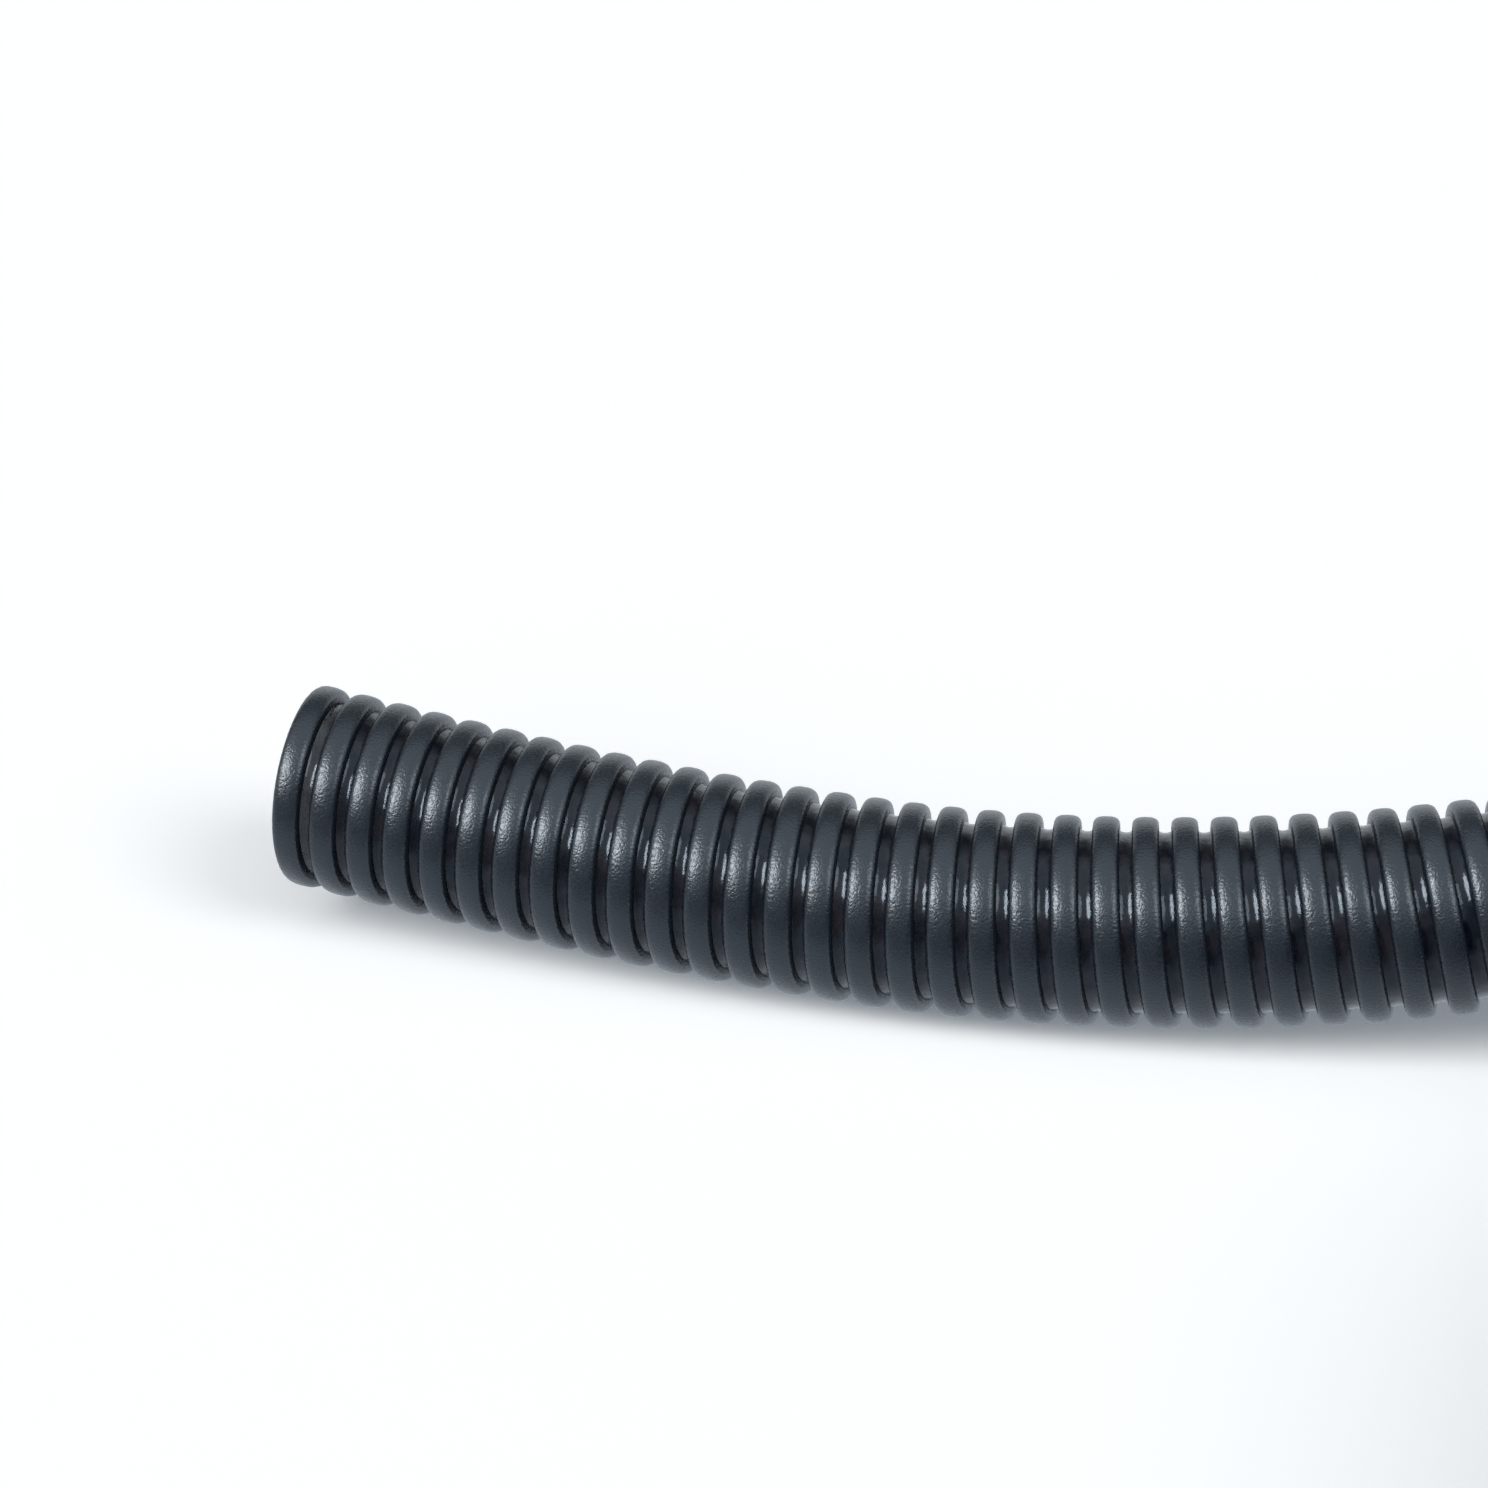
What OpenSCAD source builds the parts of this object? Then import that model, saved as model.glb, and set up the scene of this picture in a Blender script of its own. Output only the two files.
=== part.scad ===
// Spiral-wound pool vacuum hose: one plain cut end lying free, the rest wound in a
// two-layer coil held by three straps, and a swivel cuff on the far end.
// Millimetres. The floor is z = 0 and the origin is under the middle of the whole part.

/* [Hose] */
// Outside diameter over the spiral rib
hose_od = 46; // [42:0.5:50]
// Height of the spiral rib above the flexible wall
rib_h = 3.3; // [2:0.1:4.5]
// Thickness of the flexible wall between the ribs
wall_t = 0.7; // [0.5:0.1:1]
// Advance of the spiral rib in one turn
rib_pitch = 8.83; // [8:0.01:11]
// Width of the rib at its foot
rib_w = 6.4; // [5:0.1:7]
// Width of the rib's crown
crown_w = 4.2; // [2:0.1:5]
// Length of the straight true bore at the free end
free_bore_len = 40; // [25:1:42]

/* [Coil] */
// Radius of the outermost turn, at the middle of the hose
coil_r = 272; // [240:1:300]
// Air between neighbouring turns of one layer
turn_gap = 1; // [0.6:0.1:3]
// Air between the two layers
layer_gap = 0.6; // [0.5:0.1:2]

/* [Straps] */
// Thickness of a strap
strap_t = 1.5; // [1:0.1:3]
// Width of a strap
strap_w = 20; // [12:1:30]
// Air between the strap and the hose
strap_gap = 0.6; // [0.4:0.1:1.5]
// Length of the strap's fastened tongue
tongue_len = 34; // [20:1:40]

/* [Swivel cuff] */
// Bore of the socket that takes a vacuum head or a skimmer plate
socket_d = 38.1; // [34:0.1:40]
// Depth of the socket
socket_len = 65; // [40:1:90]
// Wall of the socket
socket_wall = 3.6; // [2.5:0.1:5]
// Number of grip ribs along the socket
grip_count = 10; // [6:1:16]
// Length of the sleeve that is screwed and glued on the hose
sleeve_len = 42; // [30:1:50]
// Wall of the sleeve
sleeve_wall = 2.7; // [2:0.1:4]
// Thickness of the sleeve's front flange
flange_t = 5; // [3:0.5:8]
// Thickness of the sealing washer
seal_t = 1.8; // [1:0.1:3]
// Thickness of the retaining ring
ring_t = 2.2; // [1.5:0.1:3]
// Thickness of the skirt's wall outside the ring's groove
skirt_wall = 1.2; // [1:0.1:3]

/* [Hidden] */

rib_color = "#3c4046";
wall_color = "#26211f";
strap_color = "#1f2123";
cuff_color = "#2e3236";
seal_color = "#151515";
ring_color = "#5a5f66";

hose_r = hose_od / 2;
wall_r = hose_r - rib_h;
// The smooth bore follows from the outside diameter, the rib and the wall
bore_d = 2 * (wall_r - wall_t);
bore_r = bore_d / 2;
// Fine clearance between the rib's foot and the wall it is bonded to
rib_seat = 0.2;

// Every round of the hose has eight sides. On the floor and in the coil the sides
// touch the true circle from outside; inside the cuff the corners do.
sides = 8;
side_step = 360 / sides;
outer_fit = 1 / cos(side_step / 2);

// --- Route of the free run: [x, y, height of the hose's underside] -------------------
lying_points = [
    [-416.8, 275.5, 8.4], [-379.3, 267.4, 4.7], [-341.9, 259, 2], [-304.2, 251.3, 0.5],
    [-266.2, 245.3, 0.1], [-227.9, 241.2, 2], [-189.7, 239, 6], [-151.7, 238.5, 12.2]];
// From the floor up to the coil's upper layer: [x, y, share of the climb]
climbing_points = [
    [-102.5, 239.8, 0.47], [-62.5, 243.6, 0.65], [-22.5, 250.1, 0.8],
    [17.5, 258.4, 0.907], [57.5, 266.8, 0.97], [97.5, 273.4, 0.996]];
// From the end of the coil's lower layer to the cuff: [x and y from there, share of the
// rise to the cuff's axis]
tail_points = [
    [-23, -0.6, 0.12], [-45, -1.2, 0.4], [-67, -1.5, 0.72], [-89, -1.5, 0.95],
    [-111, -1.5, 1], [-140, -1.5, 1], [-169, -1.5, 1], [-198, -1.5, 1]];

// --- Coil ---------------------------------------------------------------------------
// The run meets the coil's outermost turn here, whatever the coil's radius
meeting_point = [137.5, 276];
coil_middle = meeting_point - [0, coil_r];
coil_turns = 2.5;
steps_per_turn = 24;
coil_steps = coil_turns * steps_per_turn;
// The spiral reverses at this turn, and the hose goes down a layer around it
reverse_turn = coil_turns / 2;
climb_turns = 0.5;
turn_step = hose_od + turn_gap;
low_z = strap_t + strap_gap + hose_r;
high_z = low_z + hose_od + layer_gap;

function clamp01(v) = min(1, max(0, v));
function mix(a, b, share) = a + (b - a) * share;
function coil_radius(t) = coil_r - turn_step * min(t, coil_turns - t);
function coil_angle(t) = 90 - 360 * t;
function coil_z(t) =
    let (share = clamp01((t - reverse_turn) / climb_turns + 0.5))
    mix(high_z, low_z, (1 - cos(180 * share)) / 2);
function coil_point(t) = [
    coil_middle.x + coil_radius(t) * cos(coil_angle(t)),
    coil_middle.y + coil_radius(t) * sin(coil_angle(t)),
    coil_z(t)];

function unit(v) = v / norm(v);
function coil_dir(t) = unit(coil_point(t + 0.001) - coil_point(t - 0.001));
coil_centres = [for (i = [0:coil_steps]) coil_point(i / steps_per_turn)];
coil_start_dir = coil_dir(0.002);
coil_end_dir = coil_dir(coil_turns - 0.002);

// --- Swivel cuff: radii, and places past the end of the hose --------------------------
hose_clear = 0.25;
run_clear = 0.3;
ring_clear = 0.1;
sleeve_in_r = hose_r + hose_clear;
sleeve_r = sleeve_in_r + sleeve_wall;
flange_r = sleeve_r + 1.8;
socket_r = socket_d / 2;
socket_out_r = socket_r + socket_wall;
skirt_in_r = flange_r + run_clear;
ring_in_r = sleeve_r + run_clear + ring_clear;
ring_out_r = skirt_in_r + 1.1;
groove_r = ring_out_r + ring_clear;
cuff_r = groove_r + skirt_wall;
seal_end = flange_t + seal_t;
web_start = seal_end + run_clear;
web_end = web_start + 3;
socket_end = web_end + socket_len;
mouth_chamfer = 1;
ring_front = -run_clear - ring_clear;
ring_back = ring_front - ring_t;
skirt_start = ring_back - ring_clear - 3;
bead_r = sleeve_r + 0.8;
bead_w = 2.4;
grip_r = 1.5;

// --- Routes ----------------------------------------------------------------------------
run_points = concat(
    [for (p = lying_points) [p.x, p.y, hose_r + p.z]],
    [for (p = climbing_points) [p.x, p.y, mix(hose_r, high_z, p.z)]],
    [coil_point(0)]);
tail_route = concat(
    [coil_point(coil_turns)],
    [for (p = tail_points) [coil_middle.x + p.x, coil_middle.y - coil_r + p.y,
                            mix(low_z, cuff_r, p.z)]]);
hose_end = tail_route[len(tail_route) - 1];

// Smooth curve through points p, with the given points before the first and after the last
function curve(p, before, after, cuts) =
    let (q = concat([before], p, [after]))
    concat(
        [for (i = [1:len(p) - 1], k = [0:cuts - 1])
            let (u = k / cuts)
            (2 * q[i] + (q[i + 1] - q[i - 1]) * u
                + (2 * q[i - 1] - 5 * q[i] + 4 * q[i + 1] - q[i + 2]) * u * u
                + (3 * q[i] - q[i - 1] - 3 * q[i + 1] + q[i + 2]) * u * u * u) / 2],
        [p[len(p) - 1]]);

function lengths(p) =
    [for (i = 0, s = 0; i < len(p); s = s + (i + 1 < len(p) ? norm(p[i + 1] - p[i]) : 0), i = i + 1) s];
function column(s, p, axis) = [for (i = [0:len(p) - 1]) [s[i], p[i][axis]]];

// Places on the coil as far from its two ends as the routes' nearest points are
into_coil = (meeting_point.x - climbing_points[len(climbing_points) - 1].x) / (2 * PI * coil_r);
before_tail = coil_turns + tail_points[0].x / (2 * PI * coil_r);

curve_cuts = 10;
run_curve = [for (p = curve(run_points, 2 * run_points[0] - run_points[1],
                            coil_point(into_coil), curve_cuts))
    [p.x, p.y, max(p.z, hose_r)]];
run_s = lengths(run_curve);
run_len = run_s[len(run_s) - 1];
run_table = [for (axis = [0:2]) column(run_s, run_curve, axis)];

tail_curve = curve(tail_route, coil_point(before_tail),
                   2 * hose_end - tail_route[len(tail_route) - 2], curve_cuts);
tail_s = lengths(tail_curve);
tail_len = tail_s[len(tail_s) - 1];
tail_table = [for (axis = [0:2]) column(tail_s, tail_curve, axis)];

function place(table, s) = [for (axis = [0:2]) lookup(s, table[axis])];
function heading(table, s) = unit(place(table, s + 3) - place(table, s - 3));

// --- Sections --------------------------------------------------------------------------
function right_of(dir) = unit(cross(dir, [0, 0, 1]));
function round_point(centre, dir, r, a) =
    centre + r * (cos(a) * right_of(dir) + sin(a) * cross(right_of(dir), dir));
function round_ring(centre, dir, r) =
    [for (i = [0:sides - 1]) round_point(centre, dir, r, side_step * (i + 0.5))];

// Rows of the side walls between sections of n points, as triangles
function side_faces(rows, n, first, flip) =
    [for (k = [0:rows - 2], i = [0:n - 1], half = [0, 1])
        let (a = first + k * n + i, b = first + k * n + (i + 1) % n)
        half == 0 ? (flip ? [a, b, b + n] : [a, b + n, b])
                  : (flip ? [a, b + n, a + n] : [a, a + n, b + n])];
// Flat rings that close the two ends of a bored tube
function ring_faces(n, out, in, flip) =
    [for (i = [0:n - 1], half = [0, 1])
        let (j = (i + 1) % n)
        half == 0 ? (flip ? [out + i, in + j, in + i] : [out + i, in + i, in + j])
                  : (flip ? [out + i, out + j, in + j] : [out + i, in + j, out + j])];
function fan_faces(n, first, flip) =
    [for (i = [1:n - 2]) flip ? [first, first + i, first + i + 1]
                              : [first, first + i + 1, first + i]];

// Solid strip: sections are lists of points, one after another
module strip(sections) {
    n = len(sections[0]);
    rows = len(sections);
    points = [for (section = sections) each section];
    polyhedron(points, concat(
        side_faces(rows, n, 0, true),
        fan_faces(n, 0, false),
        fan_faces(n, (rows - 1) * n, true)));
}

// Bored tube: an outer and an inner ring at each section
module bored_tube(outer, inner) {
    rows = len(outer);
    total = rows * sides;
    points = concat([for (ring = outer) each ring], [for (ring = inner) each ring]);
    polyhedron(points, concat(
        side_faces(rows, sides, 0, true),
        side_faces(rows, sides, total, false),
        ring_faces(sides, 0, total, false),
        ring_faces(sides, total - sides, 2 * total - sides, true)));
}

// Shift of the spiral along the route, which sets where the end cuts through the rib
rib_lag = 0.8;

// Spiral rib on a route: right-handed, one unbroken strip from one end to the other
module rib_on(table, length, fit) {
    foot = (wall_r + rib_seat) * fit;
    crown = hose_r * fit;
    first = ceil(sides * (rib_w / 2 - rib_lag) / rib_pitch);
    last = floor(sides * (length - rib_w / 2 - rib_seat - rib_lag) / rib_pitch);
    outline = [[-rib_w / 2, foot], [-crown_w / 2, crown], [crown_w / 2, crown], [rib_w / 2, foot]];
    strip([for (k = [first:last])
        let (s = rib_lag + k * rib_pitch / sides, a = 90 + side_step / 2 - side_step * k)
        [for (p = outline)
            round_point(place(table, s + p[0]), heading(table, s + p[0]), p[1], a)]]);
}

// Wall sections along the free run: close together at the bored end, then even
wall_step = 17;
bore_blend = 4;
last_full_step = floor((run_len - bore_blend) / wall_step - 0.4);
wall_places = concat([0, free_bore_len, free_bore_len + bore_blend],
    [for (i = [3:last_full_step]) i * wall_step + bore_blend], [run_len]);

module hose_wall() {
    free_end = run_points[0];
    outwards = unit(run_points[0] - run_points[1]);
    color(wall_color)
    difference() {
        bored_tube(
            [for (s = wall_places)
                round_ring(place(run_table, s), s < run_len ? heading(run_table, s) : coil_start_dir,
                           wall_r * outer_fit)],
            [for (s = wall_places)
                round_ring(place(run_table, s), s < run_len ? heading(run_table, s) : coil_start_dir,
                           s > free_bore_len ? bore_r * outer_fit : bore_r - 0.3)]);
        // True round bore
        translate(free_end)
        rotate([0, 0, atan2(outwards.y, outwards.x)])
        rotate([0, 90 - asin(outwards.z), 0])
        translate([0, 0, -free_bore_len])
        cylinder(r = bore_r, h = free_bore_len + 5, $fn = 96);
    }
}

module spiral_rib() {
    color(rib_color)
    rib_on(run_table, run_len, outer_fit);
}

module hose_coil() {
    dirs = [for (i = [0:coil_steps])
        i == 0 ? coil_start_dir
        : i == coil_steps ? coil_end_dir
        : unit(coil_centres[i + 1] - coil_centres[i - 1])];
    color(rib_color)
    bored_tube(
        [for (i = [0:coil_steps]) round_ring(coil_centres[i], dirs[i], hose_r * outer_fit)],
        [for (i = [0:coil_steps]) round_ring(coil_centres[i], dirs[i], bore_r * outer_fit)]);
}

tail_step = 17;
tail_places = concat([for (i = [0:floor(tail_len / tail_step - 0.4)]) i * tail_step],
                     [tail_len - 0.2]);

module tail_wall() {
    color(wall_color)
    bored_tube(
        [for (s = tail_places)
            round_ring(place(tail_table, s), s > 0 ? heading(tail_table, s) : coil_end_dir, wall_r)],
        [for (s = tail_places)
            round_ring(place(tail_table, s), s > 0 ? heading(tail_table, s) : coil_end_dir, bore_r)]);
}

module tail_rib() {
    color(rib_color)
    rib_on(tail_table, tail_len, 1);
}

// --- Straps ----------------------------------------------------------------------------
// Each strap sits over the middle of a straight piece of the coil, at this turn
strap_front_turn = 13.5 / steps_per_turn;
strap_back_turn = 21.5 / steps_per_turn;
strap_right_turn = 5.5 / steps_per_turn;

// [distance from the coil's middle, height] of every hose that a strap holds, at both of its edges
function held_hoses(turn) =
    let (edge = strap_w / 2 / (2 * PI * coil_r), half = 0.5 / steps_per_turn)
    [for (t = [turn:1:coil_turns], side = [-1, 1])
        let (a = coil_point(t - half), b = coil_point(t + half),
             p = mix(a, b, 0.5 + side * edge / (2 * half)), away = p - concat(coil_middle, [0]))
        [away.x * cos(coil_angle(turn)) + away.y * sin(coil_angle(turn)), p.z]];

module bundle_outline(turn) {
    hull()
    for (hose = held_hoses(turn))
        translate(hose)
        rotate(side_step / 2)
        circle(r = (hose_r + strap_gap) * outer_fit, $fn = sides);
}

module coil_strap(turn) {
    color(strap_color)
    translate(concat(coil_middle, [0]))
    rotate([0, 0, coil_angle(turn)])
    rotate([90, 0, 0])
    linear_extrude(height = strap_w, center = true)
    difference() {
        union() {
            offset(delta = strap_t) bundle_outline(turn);
            // Fastened tongue, lying on the strap's outer side
            intersection() {
                offset(delta = 2 * strap_t) bundle_outline(turn);
                translate([coil_radius(turn), low_z])
                square([2 * hose_od, tongue_len]);
            }
        }
        bundle_outline(turn);
    }
}

module coil_strap_front() { coil_strap(strap_front_turn); }
module coil_strap_back() { coil_strap(strap_back_turn); }
module coil_strap_right() { coil_strap(strap_right_turn); }

// --- Swivel cuff -------------------------------------------------------------------------
// Puts a piece that is turned about z, with z = 0 at the end of the hose, on the tail
module on_tail() {
    translate(hose_end)
    rotate([0, -90, 0])
    children();
}

module cuff_sleeve() {
    color(cuff_color)
    on_tail()
    rotate_extrude($fn = 96) {
        translate([sleeve_in_r, -sleeve_len])
        square([sleeve_wall, sleeve_len + flange_t]);
        translate([socket_r, 0])
        square([flange_r - socket_r, flange_t]);
        for (i = [0:3])
            translate([sleeve_r - sleeve_wall / 2, -sleeve_len + i * 2 * bead_w])
            square([bead_r - sleeve_r + sleeve_wall / 2, bead_w]);
    }
}

module cuff_seal() {
    color(seal_color)
    on_tail()
    translate([0, 0, flange_t])
    rotate_extrude($fn = 96)
    translate([socket_r + 0.6, 0])
    square([flange_r - socket_r - 1, seal_t]);
}

module swivel_cuff() {
    shoulder = cuff_r - socket_out_r;
    color(cuff_color)
    on_tail() {
        rotate_extrude($fn = 96)
        polygon([
            [skirt_in_r, skirt_start], [cuff_r - 0.6, skirt_start], [cuff_r, skirt_start + 0.6],
            [cuff_r, web_end - 1], [cuff_r - 1, web_end], [socket_out_r, web_end + shoulder],
            [socket_out_r, socket_end - 6], [socket_out_r + grip_r, socket_end - 5],
            [socket_out_r + grip_r, socket_end - 0.6], [socket_out_r + grip_r - 0.6, socket_end],
            [socket_r + mouth_chamfer, socket_end], [socket_r, socket_end - mouth_chamfer],
            [socket_r, web_start], [skirt_in_r, web_start],
            [skirt_in_r, ring_front + ring_clear], [groove_r, ring_front + ring_clear],
            [groove_r, ring_back - ring_clear], [skirt_in_r, ring_back - ring_clear]]);
        for (i = [0:grip_count - 1])
            rotate([0, 0, 360 / grip_count * (i + 0.5)])
            translate([socket_out_r - 1, -grip_r, web_end + shoulder - 1])
            cube([grip_r + 1, 2 * grip_r, socket_len - shoulder - 4]);
    }
}

module cuff_retaining_ring() {
    color(ring_color)
    on_tail()
    translate([0, 0, ring_back])
    difference() {
        cylinder(r = ring_out_r, h = ring_t, $fn = 96);
        translate([0, 0, -1])
        cylinder(r = ring_in_r, h = ring_t + 2, $fn = 96);
        translate([0, -3, -1])
        cube([cuff_r, 6, ring_t + 2]);
    }
}

// --- What the sizes come to ------------------------------------------------------------
coil_len = lengths(coil_centres)[coil_steps];
coil_to_itself = min([for (i = [0:coil_steps - 13], j = [i + 13:coil_steps])
    norm(coil_centres[j] - coil_centres[i])]) - hose_od;
echo("Length of the hose, mm", run_len + coil_len + tail_len);
echo("Least gap of the coil to itself, mm", coil_to_itself);

hose_wall();
spiral_rib();
hose_coil();
tail_wall();
tail_rib();
coil_strap_front();
coil_strap_back();
coil_strap_right();
cuff_sleeve();
cuff_seal();
swivel_cuff();
cuff_retaining_ring();
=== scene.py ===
"""Pool vacuum hose: a spiral rib on a smoky film, wound in a strapped coil, with a swivel cuff."""
import math

import bmesh
import bpy
import numpy as np
from bpy.props import FloatProperty, FloatVectorProperty, PointerProperty
from mathutils import Matrix, Vector
from mathutils.geometry import convex_hull_2d


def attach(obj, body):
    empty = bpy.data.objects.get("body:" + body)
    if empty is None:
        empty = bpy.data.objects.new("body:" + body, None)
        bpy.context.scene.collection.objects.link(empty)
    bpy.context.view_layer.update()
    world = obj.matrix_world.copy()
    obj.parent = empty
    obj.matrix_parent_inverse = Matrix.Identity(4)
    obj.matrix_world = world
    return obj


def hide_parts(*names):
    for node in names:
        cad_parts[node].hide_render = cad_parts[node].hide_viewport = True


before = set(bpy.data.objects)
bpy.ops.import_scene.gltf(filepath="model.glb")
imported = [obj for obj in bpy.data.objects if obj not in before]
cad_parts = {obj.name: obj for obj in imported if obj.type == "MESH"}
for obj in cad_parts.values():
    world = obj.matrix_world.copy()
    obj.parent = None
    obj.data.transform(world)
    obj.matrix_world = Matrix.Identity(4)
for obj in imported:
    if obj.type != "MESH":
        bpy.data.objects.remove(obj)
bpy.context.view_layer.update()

bl_info = {
    "name": "Pool vacuum hose",
    "version": (1, 0, 0),
    "blender": (4, 5, 0),
    "location": "3D View > Sidebar > Pool hose",
    "description": "Builds a spiral-wound pool vacuum hose with its coil, straps and swivel cuff",
    "category": "Add Mesh",
}

# Route of the free run, in metres: x, y, height of the hose's underside
LYING = (
    (-0.4168, 0.2755, 0.0084), (-0.3793, 0.2674, 0.0047), (-0.3419, 0.259, 0.002),
    (-0.3042, 0.2513, 0.0005), (-0.2662, 0.2453, 0.0001), (-0.2279, 0.2412, 0.002),
    (-0.1897, 0.239, 0.006), (-0.1517, 0.2385, 0.0122))
# From the floor up to the coil's upper layer: x, y, share of the climb
CLIMBING = (
    (-0.1025, 0.2398, 0.47), (-0.0625, 0.2436, 0.65), (-0.0225, 0.2501, 0.8),
    (0.0175, 0.2584, 0.907), (0.0575, 0.2668, 0.97), (0.0975, 0.2734, 0.996))
# From the end of the coil to the cuff: x and y from there, share of the rise to the cuff's axis
TAIL = (
    (-0.023, -0.0006, 0.12), (-0.045, -0.0012, 0.4), (-0.067, -0.0015, 0.72),
    (-0.089, -0.0015, 0.95), (-0.111, -0.0015, 1.0), (-0.14, -0.0015, 1.0),
    (-0.169, -0.0015, 1.0), (-0.198, -0.0015, 1.0))
# Storage coil: it winds inwards on its upper layer and outwards on its lower one
COIL_MIDDLE = (0.1375, 0.004)
COIL_RADIUS = 0.272
COIL_TURNS = 2.5
TURN_STEP = 0.047
LOW_Z = 0.0251
HIGH_Z = 0.0717
CUFF_AXIS_Z = 0.03045
# Share of a turn, at the middle of the coil, over which it steps down to the lower layer
DROP_TURNS = 0.5
# Space between the points where the run and the tail meet the coil, which sets their curve there
RUN_SPACING = 0.04
TAIL_SPACING = 0.023
# Distance on each side of a point over which the route's direction is taken
WAY_REACH = 0.003

# Steps in one turn of the rib and the film, on each stretch of the hose
RUN_STEPS = 48
COIL_STEPS = 16
TAIL_STEPS = 32
# Farthest that two points may be apart and still become one
TURN_MERGE = 2e-6
RING_MERGE = 1e-6
# Distance from the start of the route to the rib's middle at the top of the hose
RIB_START = 0.0013
# Exponent of the rib's arch, where 2 is an ellipse
RIB_SQUARENESS = 2.8
# How far the rib's foot is drawn in and up to what height above it
RIB_UNDERCUT = (0.0003, 0.00075)
# Where the rib's foot stands in the film, as a share of its thickness from the bore
RIB_SEAT = 0.8
# Places across the gap between two ribs, in half gaps from its middle
FILM_PLACES = (-1.3, -1, -0.7, -0.35, 0, 0.35, 0.7, 1, 1.3)
# Rise of the film from the middle of the gap to the ribs, and depth of that middle
FILM_SAG = 0.00035
FILM_LOW = 0.00014
# The free end is cut by hand with a slight slant: place on the axis, and way out of the hose
CUT_PLACE = (0.0008, 0.0, 0.0)
CUT_WAY = (-0.9955, 0.0, -0.0953)

# Turns of the coil at which a strap sits
STRAP_TURNS = {
    "coil_strap_front": 13.5 / 24, "coil_strap_back": 21.5 / 24, "coil_strap_right": 5.5 / 24}
# Air between a strap and the hoses, and length of the webbing's faces
STRAP_AIR = 0.00035
STRAP_STEP = 0.002
# The strap's end laps over its start: its length, the way that it climbs in, and the air under it
TONGUE = 0.034
TONGUE_CLIMB = 0.007
TONGUE_AIR = 0.00005
# Half the length, width and height of a stitch, and the step from one to the next
STITCH = (0.0012, 0.0003, 0.00028)
STITCH_STEP = 0.0032
# From the strap's edge to the rows of stitches, and from the tongue's ends to the first and last
STITCH_HEM = 0.0025
STITCH_INSET = 0.003

# Cuff on the far end: places along the axis past the end of the hose, and radii
SLEEVE = (-0.042, 0.005, 0.02325, 0.02595)
FLANGE_R = 0.02775
SOCKET = (0.0071, 0.0751, 0.01905, 0.02265)
SKIRT = (-0.0057, 0.0101, 0.02805, 0.03045)
RING_GROOVE = (-0.0027, -0.0003, 0.02925)
# Width and height of the beads around the sleeve
BEADS = (0.0024, 0.0008)
# The bead around the mouth: where its slope starts and ends, back from the mouth, and its chamfer
MOUTH_SLOPE = (0.0055, 0.0045)
MOUTH_CHAMFER = 0.001
GRIP_COUNT = 10
GRIP_HEIGHT = 0.0015
GRIP_HALF_WIDTH = 0.0022
GRIP_RUNOUT = 0.004
# Rings of points that shape the grips' ends: from the shoulder, and back from the mouth
GRIP_BACK_RINGS = (0, 0.001, 0.002, 0.0035, 0.005)
GRIP_FRONT_RINGS = (0.0115, 0.010, 0.009, 0.008, 0.007)
# Farthest from the socket's outside that a point is still on it
GRIP_SKIN = 0.0004

# How far a moulded plastic's colour varies, as shares of it, and its roughness to each side
CLOUDING = (0.85, 1.15)
ROUGHNESS_SPREAD = 0.06

CAMERA_PLACE = (-0.25407, -0.43605, 0.43261)
CAMERA_TARGET = (-0.32383, 0.36125, 0.0)
CAMERA_LENS = 87.1
# Brightness of the room round the X axis, from the front horizon over the top to the back one
ROOM = ((0.0, 0.2), (0.12, 0.3), (0.19, 0.7), (0.25, 1.0), (0.58, 1.0), (0.66, 0.45),
        (0.74, 0.08), (0.84, 0.25), (0.93, 0.8), (1.0, 0.8))
ROOM_TINT = (0.90, 0.96, 1, 1)
# Level of the room as a light, and as a mirror sees it
ROOM_LEVEL = 0.2
MIRRORED_LEVEL = 1.5
# Painted reflection on the floor, seen only by glossy rays: a share of its colour as painted
# shade, and a painted glow that rises from here to there along Y
FLOOR_REFLECTION_PAINTED_SHADE = 0.3
FLOOR_REFLECTION_PAINTED_GLOW = 0.78
FLOOR_REFLECTION_PAINTED_GLOW_Y = (0.13, 0.2)
# What the camera sees on top of the floor's own light, so that it looks white
FLOOR_WHITE = 0.20
# Colour of the camera's white on the floor, and of its painted glow in reflections
FLOOR_TINT = (0.79, 0.89, 1, 1)


class HoseSizes(bpy.types.PropertyGroup):
    outside: FloatProperty(
        name="Outside diameter", description="Over the spiral rib", default=0.046, unit="LENGTH")
    bore: FloatProperty(
        name="Bore", description="Smooth inside diameter", default=0.038, unit="LENGTH")
    wall: FloatProperty(
        name="Film thickness", description="Flexible wall between the ribs", default=0.0007,
        unit="LENGTH")
    pitch: FloatProperty(
        name="Rib pitch", description="Advance of the rib in one turn", default=0.00883,
        unit="LENGTH")
    rib_width: FloatProperty(
        name="Rib width", description="Width of the rib", default=0.0061,
        unit="LENGTH")
    rib_arch: FloatProperty(
        name="Rib arch", description="Height of the rib's rounded part", default=0.002,
        unit="LENGTH")
    strap_width: FloatProperty(
        name="Strap width", description="Width of a coil strap", default=0.02, unit="LENGTH")
    strap_thickness: FloatProperty(
        name="Strap thickness", description="Thickness of the webbing", default=0.0017,
        unit="LENGTH")


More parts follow.
